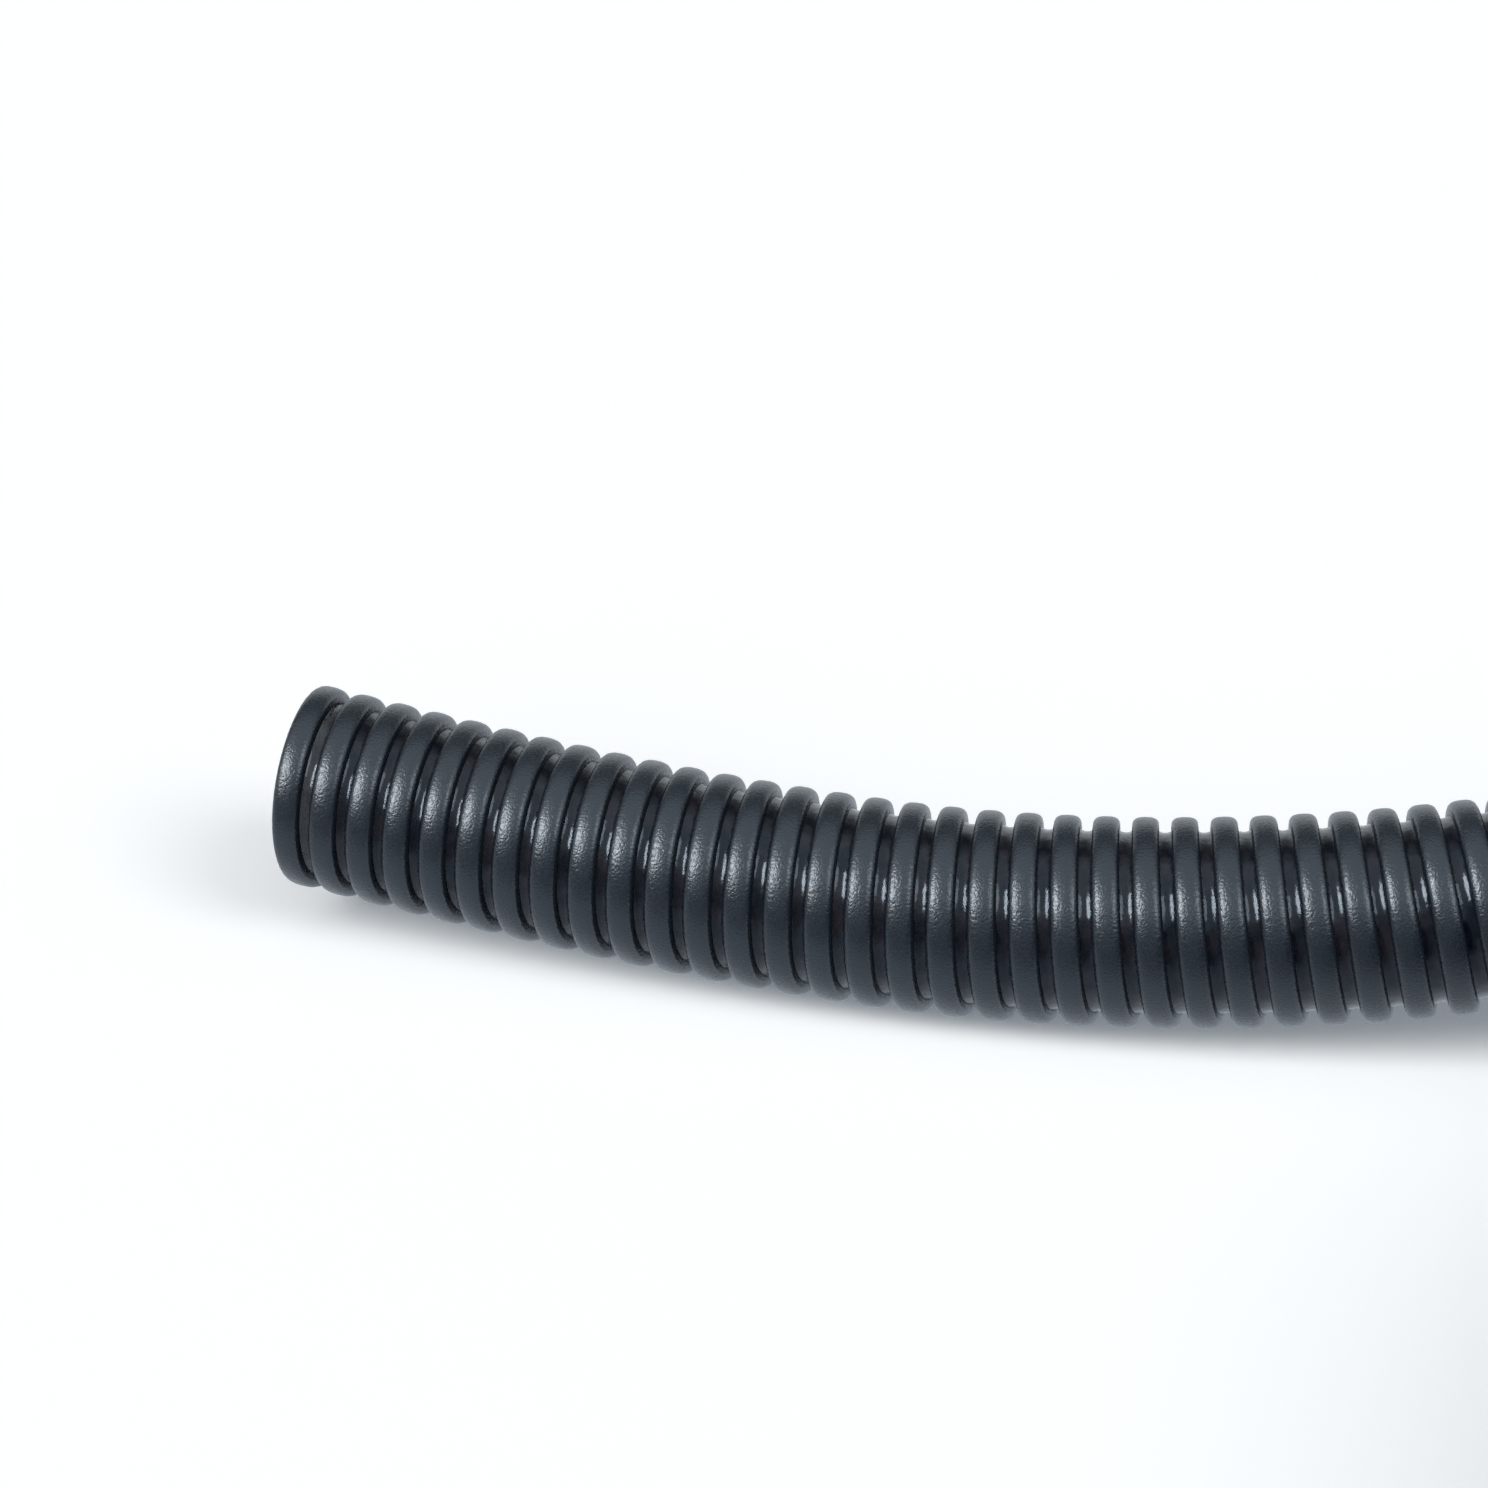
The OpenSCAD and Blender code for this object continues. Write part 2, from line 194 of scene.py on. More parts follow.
class HoseColours(bpy.types.PropertyGroup):
    rib: FloatVectorProperty(
        name="Rib", description="Colour of the rigid spiral", subtype="COLOR", size=4,
        min=0, max=1, default=(0.009, 0.013, 0.019, 1))
    film: FloatVectorProperty(
        name="Film", description="Colour of the see-through wall", subtype="COLOR", size=4,
        min=0, max=1, default=(0.004, 0.007, 0.013, 1))
    smoke: FloatVectorProperty(
        name="Smoke", description="Colour of the film's paler patches", subtype="COLOR", size=4,
        min=0, max=1, default=(0.017, 0.015, 0.020, 1))
    cuff: FloatVectorProperty(
        name="Cuff", description="Colour of the cuff and its sleeve", subtype="COLOR", size=4,
        min=0, max=1, default=(0.030, 0.033, 0.038, 1))
    strap: FloatVectorProperty(
        name="Strap", description="Colour of the webbing", subtype="COLOR", size=4,
        min=0, max=1, default=(0.018, 0.020, 0.024, 1))
    floor: FloatVectorProperty(
        name="Floor", description="Colour of the floor", subtype="COLOR", size=4,
        min=0, max=1, default=(0.97, 0.965, 0.955, 1))


# --- Route -------------------------------------------------------------------------------
def coil_point(t):
    """The centreline after t turns of the coil."""
    radius = COIL_RADIUS - TURN_STEP * min(t, COIL_TURNS - t)
    angle = math.radians(90 - 360 * t)
    share = min(1.0, max(0.0, (t - COIL_TURNS / 2) / DROP_TURNS + 0.5))
    drop = (1 - math.cos(math.pi * share)) / 2
    return (COIL_MIDDLE[0] + radius * math.cos(angle),
            COIL_MIDDLE[1] + radius * math.sin(angle),
            HIGH_Z + (LOW_Z - HIGH_Z) * drop)


def smooth_curve(points, before, after, cuts=16):
    """Points along a smooth curve through the given ones."""
    q = [np.array(p, float) for p in (before, *points, after)]
    line = []
    for i in range(1, len(q) - 2):
        a, b, c, d = q[i - 1:i + 3]
        for u in np.arange(cuts) / cuts:
            line.append((2 * b + (c - a) * u + (2 * a - 5 * b + 4 * c - d) * u ** 2
                         + (3 * b - a - 3 * c + d) * u ** 3) / 2)
    line.append(q[-2])
    return np.array(line)


def run_line():
    radius = scene_sizes().outside / 2
    points = [(x, y, radius + lift) for x, y, lift in LYING]
    points += [(x, y, radius + (HIGH_Z - radius) * share) for x, y, share in CLIMBING]
    points.append(coil_point(0))
    before = 2 * np.array(points[0]) - np.array(points[1])
    line = smooth_curve(points, before, coil_point(RUN_SPACING / (2 * math.pi * COIL_RADIUS)))
    line[:, 2] = np.maximum(line[:, 2], radius)
    return line


def coil_line(steps_per_turn=360):
    count = int(COIL_TURNS * steps_per_turn)
    return np.array([coil_point(i / steps_per_turn) for i in range(count + 1)])


def tail_line():
    end = coil_point(COIL_TURNS)
    points = [end] + [(end[0] + x, end[1] + y, LOW_Z + (CUFF_AXIS_Z - LOW_Z) * share)
                      for x, y, share in TAIL]
    before = coil_point(COIL_TURNS - TAIL_SPACING / (2 * math.pi * COIL_RADIUS))
    return smooth_curve(points, before, 2 * np.array(points[-1]) - np.array(points[-2]))


class Route:
    """The hose's centreline, and the frame that turns with it."""

    def __init__(self):
        run, coil, tail = run_line(), coil_line(), tail_line()
        self.line = np.vstack([run, coil[1:], tail[1:]])
        steps = np.linalg.norm(np.diff(self.line, axis=0), axis=1)
        self.s = np.concatenate([[0], np.cumsum(steps)])
        self.length = float(self.s[-1])
        self.run_end = float(self.s[len(run) - 1])
        self.coil_end = float(self.s[len(run) + len(coil) - 2])

    def place(self, s):
        return np.stack([np.interp(s, self.s, self.line[:, k]) for k in range(3)], axis=-1)

    def lay(self, points):
        """Puts points of a straight hose, which lies along X from 0, on the route."""
        s = points[:, 0]
        inside = np.clip(s, 0, self.length)
        ahead = self.place(np.minimum(inside + WAY_REACH, self.length))
        way = ahead - self.place(np.maximum(inside - WAY_REACH, 0))
        way /= np.linalg.norm(way, axis=1)[:, None]
        right = np.cross(way, [0, 0, 1])
        right /= np.linalg.norm(right, axis=1)[:, None]
        up = np.cross(right, way)
        middle = self.place(inside) + way * (s - inside)[:, None]
        return middle - points[:, 1:2] * right + points[:, 2:3] * up


# --- Helpers -----------------------------------------------------------------------------
def scene_sizes():
    return bpy.context.scene.hose_sizes


def scene_colours():
    return bpy.context.scene.hose_colours


def new_piece(name, bm, material):
    """A smooth object at the origin from a finished bmesh."""
    mesh = bpy.data.meshes.new(name)
    bm.to_mesh(mesh)
    bm.free()
    mesh.polygons.foreach_set("use_smooth", [True] * len(mesh.polygons))
    mesh.materials.append(material)
    piece = bpy.data.objects.new(name, mesh)
    bpy.context.scene.collection.objects.link(piece)
    return piece


def added(bm, other):
    """Moves another bmesh into this one."""
    mesh = bpy.data.meshes.new("added")
    other.to_mesh(mesh)
    other.free()
    bm.from_mesh(mesh)
    bpy.data.meshes.remove(mesh)


def repeated(bm, advance, count):
    """Copies of one turn along X, joined end to end by an Array modifier."""
    mesh = bpy.data.meshes.new("turn")
    bm.to_mesh(mesh)
    bm.free()
    turn = bpy.data.objects.new("turn", mesh)
    bpy.context.scene.collection.objects.link(turn)
    array = turn.modifiers.new("turns", "ARRAY")
    array.count = count
    array.use_relative_offset = False
    array.use_constant_offset = True
    array.constant_offset_displace = (advance, 0, 0)
    array.use_merge_vertices = True
    array.merge_threshold = TURN_MERGE
    bpy.context.view_layer.update()
    shaped = bpy.data.meshes.new_from_object(
        turn.evaluated_get(bpy.context.evaluated_depsgraph_get()))
    bpy.data.objects.remove(turn)
    bpy.data.meshes.remove(mesh)
    whole = bmesh.new()
    whole.from_mesh(shaped)
    bpy.data.meshes.remove(shaped)
    return whole


def end_cuts(start, stop):
    """Planes (place, way out) that cut a straight stretch of the hose off at its two ends."""
    first = (CUT_PLACE, CUT_WAY) if start == 0 else ((start, 0, 0), (-1, 0, 0))
    return first, ((stop, 0, 0), (1, 0, 0))


def cut_off(bm, plane):
    """Removes what lies past the plane, and gives the edges that the cut leaves."""
    everything = bm.verts[:] + bm.edges[:] + bm.faces[:]
    cut = bmesh.ops.bisect_plane(
        bm, geom=everything, plane_co=plane[0], plane_no=plane[1], clear_outer=True)
    return [g for g in cut["geom_cut"] if isinstance(g, bmesh.types.BMEdge)]


def on_route(bm, route):
    """Lays a piece of the straight hose on the route."""
    points = np.array([v.co for v in bm.verts])
    for vert, place in zip(bm.verts, route.lay(points)):
        vert.co = place
    bmesh.ops.recalc_face_normals(bm, faces=bm.faces)


def spun_turn(profile, pitch, steps, start):
    """One turn of a strip whose section is this line of (along, radius) points."""
    bm = bmesh.new()
    verts = [bm.verts.new((along, 0, radius)) for along, radius in profile]
    edges = [bm.edges.new(pair) for pair in zip(verts, verts[1:])]
    bmesh.ops.translate(bm, verts=verts, vec=(start, 0, 0))
    bmesh.ops.spin(
        bm, geom=verts + edges, cent=(0, 0, 0), axis=(1, 0, 0), dvec=(pitch / steps, 0, 0),
        angle=2 * math.pi, steps=steps)
    return bm


def rib_profile(sizes, segments):
    """The rib's section from foot to foot: a squarish arch on a foot that is drawn in."""
    half, top = sizes.rib_width / 2, sizes.outside / 2
    foot = sizes.bore / 2 + sizes.wall * RIB_SEAT
    depth, height = RIB_UNDERCUT
    right = [(half - depth, foot), (half, foot + height)]
    for i in range(segments):
        a = math.pi / 2 * i / segments
        across = math.cos(a) ** (2 / RIB_SQUARENESS)
        rise = math.sin(a) ** (2 / RIB_SQUARENESS)
        right.append((half * across, top - sizes.rib_arch * (1 - rise)))
    return [(-x, r) for x, r in right] + [(0.0, top)] + right[::-1]


class HOSE_OT_camera(bpy.types.Operator):
    """Put the camera in front of the free end"""
    bl_idname = "hose.place_camera"
    bl_label = "Camera"

    def execute(self, context):
        data = bpy.data.cameras.new("camera")
        data.sensor_width, data.lens = 36.0, CAMERA_LENS
        data.clip_start, data.clip_end = 0.01, 50
        camera = bpy.data.objects.new("camera", data)
        context.scene.collection.objects.link(camera)
        camera.location = CAMERA_PLACE
        way = Vector(CAMERA_TARGET) - Vector(CAMERA_PLACE)
        camera.rotation_euler = way.to_track_quat("-Z", "Y").to_euler()
        context.scene.camera = camera
        return {"FINISHED"}


# --- Materials ---------------------------------------------------------------------------
def new_material(name):
    material = bpy.data.materials.new(name)
    material.use_nodes = True
    tree = material.node_tree
    return material, tree, tree.nodes["Principled BSDF"]


def linked(tree, kind, **inputs):
    """A new node with these inputs; a node output is linked, anything else is a plain value."""
    node = tree.nodes.new(kind)
    for name, value in inputs.items():
        socket = node.inputs[name.replace("_", " ")]
        if isinstance(value, bpy.types.NodeSocket):
            tree.links.new(value, socket)
        else:
            socket.default_value = value
    return node


def object_noise(tree, scale, detail):
    where = tree.nodes.new("ShaderNodeTexCoord").outputs["Object"]
    return linked(tree, "ShaderNodeTexNoise", Vector=where, Scale=scale, Detail=detail)


def ranged(tree, value, low, high, start=0.0, end=1.0):
    node = linked(tree, "ShaderNodeMapRange", Value=value, From_Min=start, From_Max=end,
                  To_Min=low, To_Max=high)
    return node.outputs["Result"]


def tinted(tree, factor, dark, light):
    mix = tree.nodes.new("ShaderNodeMix")
    mix.data_type = "RGBA"
    tree.links.new(factor, mix.inputs[0])
    mix.inputs[6].default_value = dark
    mix.inputs[7].default_value = light
    return mix.outputs[2]


def stepped(tree, factor, stops):
    """Smooth steps from grey to grey at these places of the factor."""
    ramp = tree.nodes.new("ShaderNodeValToRGB")
    ramp.color_ramp.interpolation = "EASE"
    elements = ramp.color_ramp.elements
    while len(elements) < len(stops):
        elements.new(0.5)
    for element, (place, grey) in zip(elements, stops):
        element.position, element.color = place, (grey, grey, grey, 1)
    tree.links.new(factor, ramp.inputs["Fac"])
    return ramp.outputs["Color"]


def scaled(colour, share):
    return tuple(c * share for c in colour[:3]) + (1,)


def bumped(tree, shader, height, strength, distance):
    bump = linked(tree, "ShaderNodeBump", Height=height, Strength=strength, Distance=distance)
    tree.links.new(bump.outputs["Normal"], shader.inputs["Normal"])


def moulded_plastic(name, colour, roughness, pebble_scale, pebble_depth):
    """Satin plastic with a fine pebbled skin."""
    material, tree, shader = new_material(name)
    cloud = object_noise(tree, scale=60.0, detail=3.0)
    dark, light = (scaled(colour, share) for share in CLOUDING)
    tree.links.new(tinted(tree, cloud.outputs["Fac"], dark, light), shader.inputs["Base Color"])
    fine = object_noise(tree, pebble_scale, detail=1.0)
    rough = ranged(tree, fine.outputs["Fac"], low=roughness - ROUGHNESS_SPREAD,
                   high=roughness + ROUGHNESS_SPREAD, start=0.3, end=0.7)
    tree.links.new(rough, shader.inputs["Roughness"])
    bumped(tree, shader, fine.outputs["Fac"], strength=0.5, distance=pebble_depth)
    return material


def rib_plastic():
    material = moulded_plastic("rib_plastic", scene_colours().rib, roughness=0.30,
                               pebble_scale=1900.0, pebble_depth=0.00020)
    shader = material.node_tree.nodes["Principled BSDF"]
    shader.inputs["Specular IOR Level"].default_value = 0.48
    shader.inputs["Specular Tint"].default_value = (0.86, 0.94, 1, 1)
    return material


def film():
    """Smoky see-through film with a glossy, slightly wavy skin."""
    material, tree, shader = new_material("wall_film")
    cloud = object_noise(tree, scale=220.0, detail=2.0).outputs["Fac"]
    patches = ranged(tree, cloud, low=0.0, high=1.0, start=0.38, end=0.66)
    tree.links.new(tinted(tree, patches, scene_colours().film, scene_colours().smoke),
                   shader.inputs["Base Color"])
    tree.links.new(ranged(tree, cloud, low=0.80, high=0.90, start=0.35, end=0.65),
                   shader.inputs["Alpha"])
    shader.inputs["Roughness"].default_value = 0.15
    shader.inputs["Specular IOR Level"].default_value = 0.32
    shader.inputs["Specular Tint"].default_value = (0.76, 0.88, 1, 1)
    wave = object_noise(tree, scale=260.0, detail=2.5)
    bumped(tree, shader, wave.outputs["Fac"], strength=0.5, distance=0.0004)
    return material


def rubber():
    """Matt black rubber with a fine grain."""
    material, tree, shader = new_material("seal_rubber")
    cloud = object_noise(tree, scale=300.0, detail=3.0)
    tree.links.new(tinted(tree, cloud.outputs["Fac"], (0.008, 0.008, 0.008, 1),
                          (0.018, 0.017, 0.016, 1)), shader.inputs["Base Color"])
    shader.inputs["Roughness"].default_value = 0.7
    grain = object_noise(tree, scale=3000.0, detail=1.0)
    bumped(tree, shader, grain.outputs["Fac"], strength=0.4, distance=0.00003)
    return material


def ring_plastic():
    return moulded_plastic("ring_plastic", (0.1, 0.11, 0.12, 1), roughness=0.34,
                           pebble_scale=1800.0, pebble_depth=0.00003)


def woven(tree, uv, yarn):
    """Height, from 0 to 1, of a plain weave of such yarns on a UV map in metres."""
    where = tree.nodes.new("ShaderNodeMapping")
    tree.links.new(uv, where.inputs["Vector"])
    where.inputs["Scale"].default_value = (1 / yarn, 1 / yarn, 1)
    parts = linked(tree, "ShaderNodeSeparateXYZ", Vector=where.outputs["Vector"])
    crowns = []
    for axis in ("X", "Y"):
        turn = maths(tree, "MULTIPLY", parts.outputs[axis], math.pi)
        crowns.append(maths(tree, "ABSOLUTE", maths(tree, "SINE", turn)))
    over = linked(tree, "ShaderNodeTexChecker", Vector=where.outputs["Vector"], Scale=1.0)
    mix = tree.nodes.new("ShaderNodeMix")
    tree.links.new(over.outputs["Fac"], mix.inputs[0])
    tree.links.new(crowns[0], mix.inputs[2])
    tree.links.new(crowns[1], mix.inputs[3])
    return mix.outputs[0]


def maths(tree, kind, first, second=None):
    node = tree.nodes.new("ShaderNodeMath")
    node.operation = kind
    for socket, value in zip(node.inputs, (first, second)):
        if isinstance(value, bpy.types.NodeSocket):
            tree.links.new(value, socket)
        elif value is not None:
            socket.default_value = value
    return node.outputs[0]


def webbing():
    """Black polyester webbing: a plain weave with a slight sheen, paler on its crowns and darker
    in its hollows.
    """
    material, tree, shader = new_material("strap_fabric")
    uv = tree.nodes.new("ShaderNodeTexCoord").outputs["UV"]
    height = woven(tree, uv, yarn=0.0011)
    colour = scene_colours().strap
    tree.links.new(tinted(tree, height, scaled(colour, 0.35), scaled(colour, 1.7)),
                   shader.inputs["Base Color"])
    shader.inputs["Roughness"].default_value = 0.72
    shader.inputs["Sheen Weight"].default_value = 0.15
    bumped(tree, shader, height, strength=0.8, distance=0.0003)
    return material


def thread_material():
    """Grey sewing thread."""
    material, tree, shader = new_material("stitching")
    cloud = object_noise(tree, scale=2500.0, detail=1.0)
    tree.links.new(tinted(tree, cloud.outputs["Fac"], (0.03, 0.032, 0.036, 1),
                          (0.10, 0.105, 0.11, 1)), shader.inputs["Base Color"])
    shader.inputs["Roughness"].default_value = 0.65
    bumped(tree, shader, cloud.outputs["Fac"], strength=0.5, distance=0.0001)
    return material


# --- Hose --------------------------------------------------------------------------------
class HOSE_OT_ribs(bpy.types.Operator):
    """Wind the rigid spiral rib along the run, the coil and the tail"""
    bl_idname = "hose.wind_ribs"
    bl_label = "Spiral rib"

    def execute(self, context):
        route = Route()
        material = rib_plastic()
        # Name, start and end along the route, steps a turn, steps a side of the arch, nodes
        stretches = (
            ("rib_of_run", 0.0, route.run_end, RUN_STEPS, 6, ("spiral_rib",)),
            ("rib_of_coil", route.run_end, route.coil_end, COIL_STEPS, 2, ("hose_coil",)),
            ("rib_of_tail", route.coil_end, route.length, TAIL_STEPS, 4, ("tail_rib",)))
        for name, start, stop, steps, segments, nodes in stretches:
            bm = self.straight_rib(start, stop, steps, segments)
            on_route(bm, route)
            piece = new_piece(name, bm, material)
            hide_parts(*nodes)
            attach(piece, "hose")
        return {"FINISHED"}

    def straight_rib(self, start, stop, steps, segments):
        """The rib of this stretch of a straight hose, with flat ends."""
        sizes = scene_sizes()
        pitch = sizes.pitch
        first = math.floor(start / pitch) - 1
        count = math.ceil(stop / pitch) - first + 1
        profile = rib_profile(sizes, segments)
        profile.append(profile[0])
        bm = spun_turn(profile, pitch, steps, RIB_START + first * pitch)
        bmesh.ops.remove_doubles(bm, verts=bm.verts, dist=TURN_MERGE)
        bm = repeated(bm, pitch, count)
        for plane in end_cuts(start, stop):
            bmesh.ops.edgeloop_fill(bm, edges=cut_off(bm, plane))
        return bm


class HOSE_OT_film(bpy.types.Operator):
    bl_idname = "hose.draw_film"
    bl_label = "Film"

    def execute(self, context):
        route = Route()
        bm = self.webbed(0.0, route.run_end, RUN_STEPS)
        added(bm, self.plain(route.run_end, route.coil_end))
        added(bm, self.webbed(route.coil_end, route.length, TAIL_STEPS))
        on_route(bm, route)
        piece = new_piece("hose_film", bm, film())
        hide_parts("hose_wall", "tail_wall")
        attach(piece, "hose")
        return {"FINISHED"}

    def webbed(self, start, stop, steps):
        """Film that sags a little between two turns of the rib, as a helical web."""
        sizes = scene_sizes()
        pitch, half = sizes.pitch, sizes.rib_width / 2
        out, inner = sizes.bore / 2 + sizes.wall, sizes.bore / 2
        gap = pitch / 2 - half
        hollow = [(pitch / 2 + x * gap, out + FILM_SAG * x ** 2 - FILM_LOW) for x in FILM_PLACES]
        web = [(0.0, out)] + hollow + [(pitch, out)]
        first = math.floor(start / pitch) - 1
        count = math.ceil(stop / pitch) - first + 1
        whole = bmesh.new()
        for profile in (web, [(0.0, inner), (pitch, inner)]):
            turn = spun_turn(profile, pitch, steps, RIB_START + first * pitch)
            added(whole, repeated(turn, pitch, count))
        return self.closed(whole, start, stop)

    def plain(self, start, stop):
        """Film of the coiled length, as two straight tubes, one in the other."""
        sizes = scene_sizes()
        lying = Matrix.Translation((start, 0, 0)) @ Matrix.Rotation(math.pi / 2, 4, "Y")
        whole = bmesh.new()
        for radius in (sizes.bore / 2 + sizes.wall, sizes.bore / 2):
            ring = bmesh.new()
            bmesh.ops.create_cone(ring, segments=COIL_STEPS, radius1=radius, radius2=radius,
                                  depth=sizes.pitch, matrix=lying)
            added(whole, repeated(ring, sizes.pitch, math.ceil((stop - start) / sizes.pitch) + 1))
        return self.closed(whole, start, stop)

    def closed(self, bm, start, stop):
        """Cuts the two skins off at both ends and joins them there."""
        for plane in end_cuts(start, stop):
            bmesh.ops.bridge_loops(bm, edges=cut_off(bm, plane))
        return bm


# --- Straps ------------------------------------------------------------------------------
class StrapLoop:
    """Middle of the webbing around the hoses at one turn, as points (out from the coil's
    middle, height)."""

    def __init__(self, turn):
        sizes = scene_sizes()
        thick = sizes.strap_thickness
        radius = sizes.outside / 2 + STRAP_AIR + thick / 2
        edge = sizes.strap_width / 2 / (2 * math.pi * COIL_RADIUS)
        angle = math.radians(90 - 360 * turn)
        self.out = np.array([math.cos(angle), math.sin(angle)])
        self.side = np.array([-self.out[1], self.out[0]])
        around = [math.radians(a) for a in range(0, 360, 5)]
        circles = [self.seen(t + shift) + radius * np.array([math.cos(a), math.sin(a)])
                   for t in np.arange(turn, COIL_TURNS, 1.0) for shift in (-edge, 0, edge)
                   for a in around]
        hull = np.array([circles[i] for i in convex_hull_2d([Vector(c) for c in circles])])
        outer_side = hull[:, 0] > 0.9 * hull[:, 0].max()
        first = int(np.argmin(np.where(outer_side, np.abs(hull[:, 1] - LOW_Z), np.inf)))
        self.points = self.evenly(np.roll(hull, -first, axis=0)[[*range(len(hull)), 0]])

    def seen(self, t):
        """The hose's centre at this turn, seen along the coil: out from its middle, height."""
        x, y, z = coil_point(t)
        from_middle = (x - COIL_MIDDLE[0]) * self.out[0] + (y - COIL_MIDDLE[1]) * self.out[1]
        return np.array([from_middle, z])

    def evenly(self, line):
        """Evenly spaced points on the loop; its length and the distances along it are kept."""
        s = np.concatenate([[0], np.cumsum(np.linalg.norm(np.diff(line, axis=0), axis=1))])
        self.length = float(s[-1])
        self.s = np.linspace(0, self.length, int(self.length / STRAP_STEP))
        return np.stack([np.interp(self.s, s, line[:, k]) for k in (0, 1)], axis=-1)

    def place(self, along):
        """Points of the loop at these distances along it, counted round and round."""
        back = np.mod(along, self.length)
        return np.stack([np.interp(back, self.s, self.points[:, k]) for k in (0, 1)], axis=-1)

    def lay(self, along, across, above):
        """World places for points on the webbing; past one turn it lies on its own first layer."""
        thick = scene_sizes().strap_thickness
        flat = self.place(along)
        way = self.place(along + STRAP_STEP / 2) - self.place(along - STRAP_STEP / 2)
        way /= np.linalg.norm(way, axis=1)[:, None]
        climb = np.clip((along - self.length + TONGUE_CLIMB) / TONGUE_CLIMB, 0, 1)
        lift = (thick + TONGUE_AIR) * climb ** 2 * (3 - 2 * climb) + above
        flat = flat + lift[:, None] * np.stack([way[:, 1], -way[:, 0]], axis=-1)
        plan = flat[:, :1] * self.out + across[:, None] * self.side + np.array(COIL_MIDDLE)
        return np.column_stack([plan, flat[:, 1]])

    def wrap(self, bm):
        """Lays a piece made flat, with its length along X, on the loop."""
        points = np.array([v.co for v in bm.verts])
        for vert, place in zip(bm.verts, self.lay(*points.T)):
            vert.co = place
        bmesh.ops.recalc_face_normals(bm, faces=bm.faces)


class HOSE_OT_straps(bpy.types.Operator):
    """Put the three webbing straps around the coil"""
    bl_idname = "hose.strap_coil"
    bl_label = "Straps"

    def execute(self, context):
        material, thread = webbing(), thread_material()
        for name, turn in STRAP_TURNS.items():
            loop = StrapLoop(turn)
            side = name.removeprefix("coil_strap")
            piece = new_piece("webbing" + side, self.band(loop), material)
            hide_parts(name)
            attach(piece, "hose")
            stitches = new_piece("stitches" + side, self.stitches(loop), thread)
            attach(stitches, "hose")
        return {"FINISHED"}

    def band(self, loop):
        """Webbing that goes round the hoses once and laps over its own start."""
        sizes = scene_sizes()
        whole = loop.length + TONGUE
        bm = bmesh.new()
        rows = int(whole / STRAP_STEP)
        bmesh.ops.create_grid(bm, x_segments=rows, y_segments=6, size=0.5, calc_uvs=True)
        bmesh.ops.scale(bm, verts=bm.verts, vec=(whole, sizes.strap_width, 1))
        bmesh.ops.translate(bm, verts=bm.verts, vec=(whole / 2, 0, 0))
        uv = bm.loops.layers.uv.verify()
        for face in bm.faces:
            for corner in face.loops:
                corner[uv].uv = corner.vert.co.xy
        bmesh.ops.solidify(bm, geom=bm.faces[:], thickness=sizes.strap_thickness)
        middle = sum(v.co.z for v in bm.verts) / len(bm.verts)
        bmesh.ops.translate(bm, verts=bm.verts, vec=(0, 0, -middle))
        corners = [e for e in bm.edges if e.calc_face_angle(0) > 1]
        bmesh.ops.bevel(bm, geom=corners, offset=sizes.strap_thickness * 0.3, affect="EDGES",
                        segments=2, profile=0.5, material=-1, clamp_overlap=True)
        loop.wrap(bm)
        return bm

    def stitches(self, loop):
        """Two rows along the tongue and a bar across its end."""
        sizes = scene_sizes()
        edge = sizes.strap_width / 2 - STITCH_HEM
        length, width, height = STITCH
        lengthways = Matrix.Diagonal((length, width, height, 1))
        crossways = Matrix.Diagonal((width, length, height, 1))
        marks = [(x, side * edge, lengthways)
                 for x in np.arange(STITCH_INSET, TONGUE - 0.002, STITCH_STEP) for side in (-1, 1)]
        marks += [(TONGUE - STITCH_INSET, y, crossways)
                  for y in np.arange(STITCH_STEP / 2 - edge, edge - STITCH_STEP / 4, STITCH_STEP)]
        bm = bmesh.new()
        for x, y, shape in marks:
            bmesh.ops.create_uvsphere(
                bm, u_segments=6, v_segments=4, radius=1,
                matrix=Matrix.Translation((loop.length + x, y, sizes.strap_thickness / 2)) @ shape)
        loop.wrap(bm)
        return bm


# --- Cuff --------------------------------------------------------------------------------
def turned(profile, steps):
    """A closed profile of (along, radius) points spun into a ring about X."""
    bm = bmesh.new()
    verts = [bm.verts.new((along, 0, radius)) for along, radius in profile]
    edges = [bm.edges.new((a, b)) for a, b in zip(verts, verts[1:] + verts[:1])]
    bmesh.ops.spin(bm, geom=verts + edges, cent=(0, 0, 0), axis=(1, 0, 0), dvec=(0, 0, 0),
                   angle=2 * math.pi, steps=steps, use_merge=True)
    bmesh.ops.remove_doubles(bm, verts=bm.verts, dist=RING_MERGE)
    return bm


def rounded_off(bm, radius):
    """Rounds every sharp circular edge."""
    sharp = [e for e in bm.edges if e.calc_face_angle(0) > 0.45]
    bmesh.ops.bevel(bm, geom=sharp, offset=radius, affect="EDGES", segments=3,
                    profile=0.5, material=-1, clamp_overlap=True)


def at_cuff(bm):
    """Puts a piece made along X from the hose's end on the far end of the route."""
    end = Matrix.Translation(Vector(tail_line()[-1]))
    bmesh.ops.transform(bm, verts=bm.verts, matrix=end @ Matrix.Rotation(math.pi, 4, "Z"))
    bmesh.ops.recalc_face_normals(bm, faces=bm.faces)


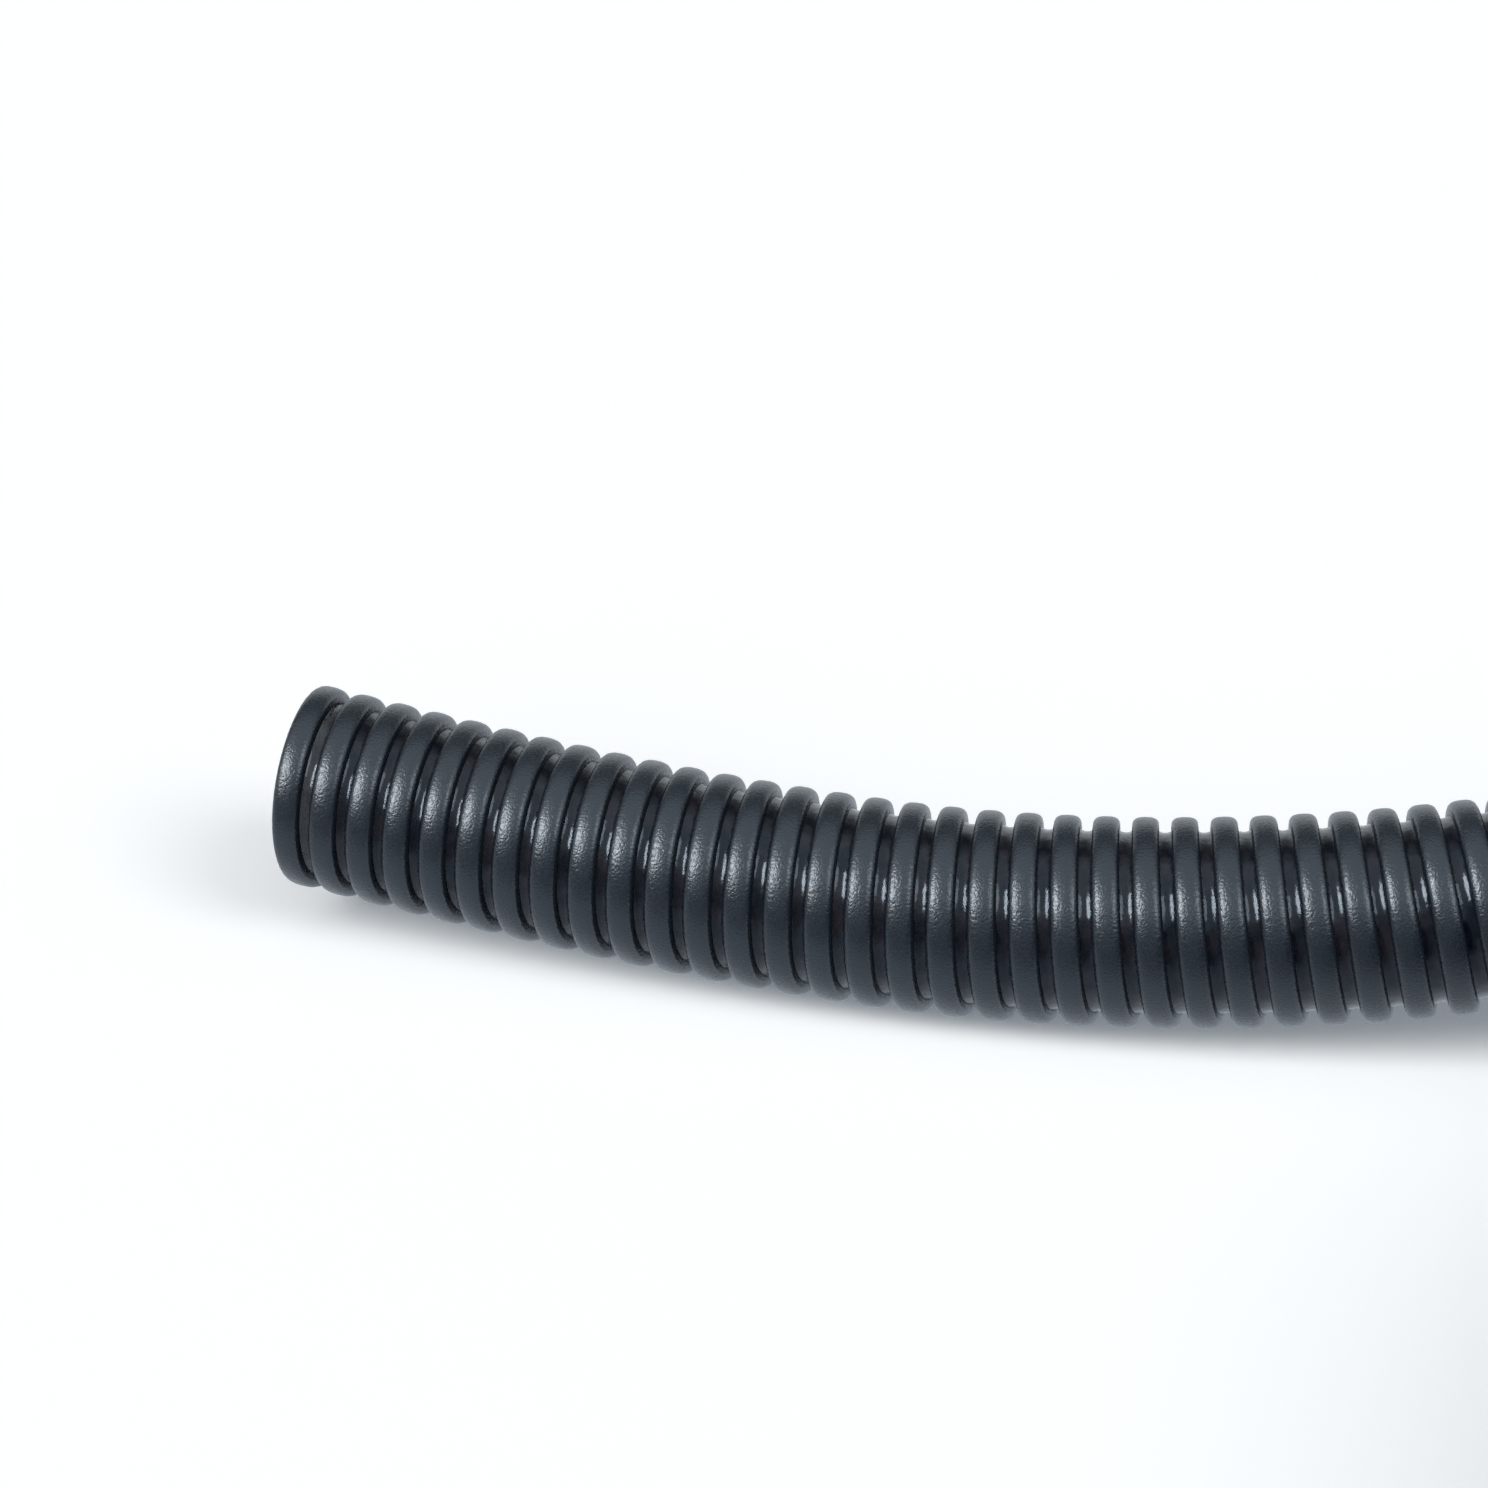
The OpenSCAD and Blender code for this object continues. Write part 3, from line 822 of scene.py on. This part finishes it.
class HOSE_OT_cuff(bpy.types.Operator):
    """Make the sleeve on the hose and the turning cuff on it"""
    bl_idname = "hose.make_cuff"
    bl_label = "Swivel cuff"

    def execute(self, context):
        plastic = moulded_plastic("cuff_plastic", scene_colours().cuff, roughness=0.4,
                                  pebble_scale=1500.0, pebble_depth=0.00008)
        sleeve = new_piece("sleeve_of_cuff", self.sleeve(), plastic)
        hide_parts("cuff_sleeve")
        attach(sleeve, "hose")
        body = new_piece("turning_cuff", self.body(), plastic)
        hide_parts("swivel_cuff")
        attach(body, "cuff")
        for name, material in (("cuff_seal", rubber()), ("cuff_retaining_ring", ring_plastic())):
            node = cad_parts[name]
            node.data.materials.clear()
            node.data.materials.append(material)
        return {"FINISHED"}

    def sleeve(self):
        """The sleeve on the hose's end, with four beads around it and the flange."""
        start, end, inner, outer = SLEEVE
        width, height = BEADS
        profile = [(start, inner), (0.0, inner), (0.0, SOCKET[2]), (end, SOCKET[2]),
                   (end, FLANGE_R), (0.0, FLANGE_R), (0.0, outer)]
        for i in (3, 2, 1, 0):
            foot = start + 2 * i * width
            profile += [(foot + width, outer), (foot + width, outer + height),
                        (foot, outer + height), (foot, outer)]
        bm = turned(profile[:-1], steps=96)
        rounded_off(bm, radius=0.0003)
        at_cuff(bm)
        return bm

    def body(self):
        """The turning cuff: its skirt over the flange, its socket, grips and mouth."""
        back, web_end, skirt_in, skirt_out = SKIRT
        front, mouth, bore, out = SOCKET
        groove_back, groove_front, groove = RING_GROOVE
        shoulder = web_end + skirt_out - out
        slope_start, slope_end = MOUTH_SLOPE
        rings = [shoulder + x for x in GRIP_BACK_RINGS] + [mouth - x for x in GRIP_FRONT_RINGS]
        profile = [(back, skirt_in), (back, skirt_out), (web_end, skirt_out)]
        profile += [(x, out) for x in rings]
        profile += [(mouth - slope_start, out), (mouth - slope_end, out + GRIP_HEIGHT),
                    (mouth, out + GRIP_HEIGHT), (mouth, bore + MOUTH_CHAMFER),
                    (mouth - MOUTH_CHAMFER, bore), (front, bore), (front, skirt_in),
                    (groove_front, skirt_in), (groove_front, groove), (groove_back, groove),
                    (groove_back, skirt_in)]
        bm = turned(profile, steps=240)
        rounded_off(bm, radius=0.0006)
        self.raise_grips(bm, rings[0], rings[-1])
        at_cuff(bm)
        return bm

    def raise_grips(self, bm, start, end):
        """Lifts rounded ribs along the socket's outside."""
        out = SOCKET[3]
        for vert in bm.verts:
            radius = math.hypot(vert.co.y, vert.co.z)
            if not (start < vert.co.x < end and abs(radius - out) < GRIP_SKIN):
                continue
            turn = math.atan2(vert.co.z, vert.co.y) / (2 * math.pi) * GRIP_COUNT
            off = abs(turn - round(turn)) * 2 * math.pi * out / GRIP_COUNT
            across = max(0.0, 1 - (off / GRIP_HALF_WIDTH) ** 2) ** 0.5
            near = min(vert.co.x - start, end - vert.co.x)
            share = across * min(1.0, near / GRIP_RUNOUT) ** 0.5
            vert.co.yz = vert.co.yz * (1 + GRIP_HEIGHT * share / radius)


class HOSE_OT_whole(bpy.types.Operator):
    """Gather the route's line and the names of the ribs, straps and cuff on the hose; nothing is
    done with them
    """
    bl_idname = "hose.name_whole"
    bl_label = "Whole hose"

    def execute(self, context):
        line = Route().line
        on_it = ["rib_of_run", "rib_of_coil", "rib_of_tail", "sleeve_of_cuff", "turning_cuff",
                 "cuff_seal", "cuff_retaining_ring"]
        for part in ("front", "back", "right"):
            on_it += ["webbing_" + part, "stitches_" + part]
        return {"FINISHED"}


# --- Stage -------------------------------------------------------------------------------
class HOSE_OT_stage(bpy.types.Operator):
    """Lay the floor and hang the lights"""
    bl_idname = "hose.set_stage"
    bl_label = "Stage"

    def execute(self, context):
        self.floor()
        self.sun("key_light", (-0.62, -0.49, 0.62), angle=30, strength=1.1)
        gleam = self.sun("gleam_light", (-0.66, -0.46, 0.59), angle=28, strength=2.6)
        gleam.visible_diffuse = False
        self.sun("side_light", (0.56, -0.46, 0.69), angle=28, strength=0.95)
        front = self.sun("front_light", (-0.15, -0.70, 0.70), angle=60, strength=1.35)
        front.visible_glossy = False
        self.studio()
        context.scene.view_settings.view_transform = "Standard"
        return {"FINISHED"}

    def studio(self):
        """A room that is bright overhead, dim in front, dark and then pale behind, and white
        to the camera."""
        world = bpy.data.worlds.new("studio")
        world.use_nodes = True
        tree = world.node_tree
        way = linked(tree, "ShaderNodeSeparateXYZ",
                     Vector=tree.nodes.new("ShaderNodeTexCoord").outputs["Generated"])
        ahead = maths(tree, "MULTIPLY", way.outputs["Y"], -1.0)
        turn = maths(tree, "DIVIDE", maths(tree, "ARCTAN2", way.outputs["Z"], ahead), math.pi)
        rays = tree.nodes.new("ShaderNodeLightPath").outputs
        level = ranged(tree, rays["Is Glossy Ray"], ROOM_LEVEL, MIRRORED_LEVEL)
        room = maths(tree, "MULTIPLY", stepped(tree, turn, ROOM), level)
        back = tree.nodes["Background"]
        back.inputs["Color"].default_value = ROOM_TINT
        white = maths(tree, "MAXIMUM", rays["Is Camera Ray"], rays["Is Transmission Ray"])
        tree.links.new(maths(tree, "MAXIMUM", room, white), back.inputs["Strength"])
        bpy.context.scene.world = world

    def floor(self):
        """A white floor that keeps the shadow; glossy rays see a painted reflection on it: painted
        shade near the front and a painted glow farther back.
        """
        bm = bmesh.new()
        bmesh.ops.create_grid(bm, x_segments=8, y_segments=8, size=6)
        material, tree, shader = new_material("floor")
        rays = tree.nodes.new("ShaderNodeLightPath").outputs
        colour = scene_colours().floor
        # Painted shade in reflections: glossy rays see the floor at a share of its colour
        reflection_painted_shade = scaled(colour, FLOOR_REFLECTION_PAINTED_SHADE)
        tree.links.new(tinted(tree, rays["Is Glossy Ray"], colour, reflection_painted_shade),
                       shader.inputs["Base Color"])
        where = tree.nodes.new("ShaderNodeTexCoord").outputs["Object"]
        along = linked(tree, "ShaderNodeSeparateXYZ", Vector=where).outputs["Y"]
        # Painted glow in reflections: glossy rays see the floor glow farther back along Y
        far = ranged(tree, along, 0.0, FLOOR_REFLECTION_PAINTED_GLOW, *FLOOR_REFLECTION_PAINTED_GLOW_Y)
        reflection_painted_glow = maths(tree, "MULTIPLY", far, rays["Is Glossy Ray"])
        white = maths(tree, "MULTIPLY", rays["Is Camera Ray"], FLOOR_WHITE)
        tree.links.new(maths(tree, "ADD", reflection_painted_glow, white), shader.inputs["Emission Strength"])
        shader.inputs["Emission Color"].default_value = FLOOR_TINT
        shader.inputs["Roughness"].default_value = 0.9
        shader.inputs["Specular IOR Level"].default_value = 0.1
        new_piece("floor", bm, material)

    def sun(self, name, way, angle, strength):
        """A soft light from this way, and as wide in degrees as the angle."""
        data = bpy.data.lights.new(name, "SUN")
        data.angle, data.energy = math.radians(angle), strength
        lamp = bpy.data.objects.new(name, data)
        bpy.context.scene.collection.objects.link(lamp)
        lamp.location = way
        lamp.rotation_euler = Vector(way).to_track_quat("Z", "Y").to_euler()
        return lamp


class HOSE_PT_panel(bpy.types.Panel):
    bl_label = "Pool hose"
    bl_idname = "HOSE_PT_panel"
    bl_space_type = "VIEW_3D"
    bl_region_type = "UI"
    bl_category = "Pool hose"

    def draw(self, context):
        for group in (context.scene.hose_sizes, context.scene.hose_colours):
            for name in group.__annotations__:
                self.layout.prop(group, name)
        for operator in OPERATORS:
            self.layout.operator(operator.bl_idname)


OPERATORS = (HOSE_OT_camera, HOSE_OT_ribs, HOSE_OT_film, HOSE_OT_straps, HOSE_OT_cuff,
             HOSE_OT_whole, HOSE_OT_stage)
CLASSES = (HoseSizes, HoseColours, *OPERATORS, HOSE_PT_panel)


def register():
    for cls in CLASSES:
        bpy.utils.register_class(cls)
    bpy.types.Scene.hose_sizes = PointerProperty(type=HoseSizes)
    bpy.types.Scene.hose_colours = PointerProperty(type=HoseColours)


def unregister():
    del bpy.types.Scene.hose_colours
    del bpy.types.Scene.hose_sizes
    for cls in reversed(CLASSES):
        bpy.utils.unregister_class(cls)


def main():
    register()
    for operator in OPERATORS:
        group, name = operator.bl_idname.split(".")
        getattr(getattr(bpy.ops, group), name)()


if __name__ == "__main__":
    main()
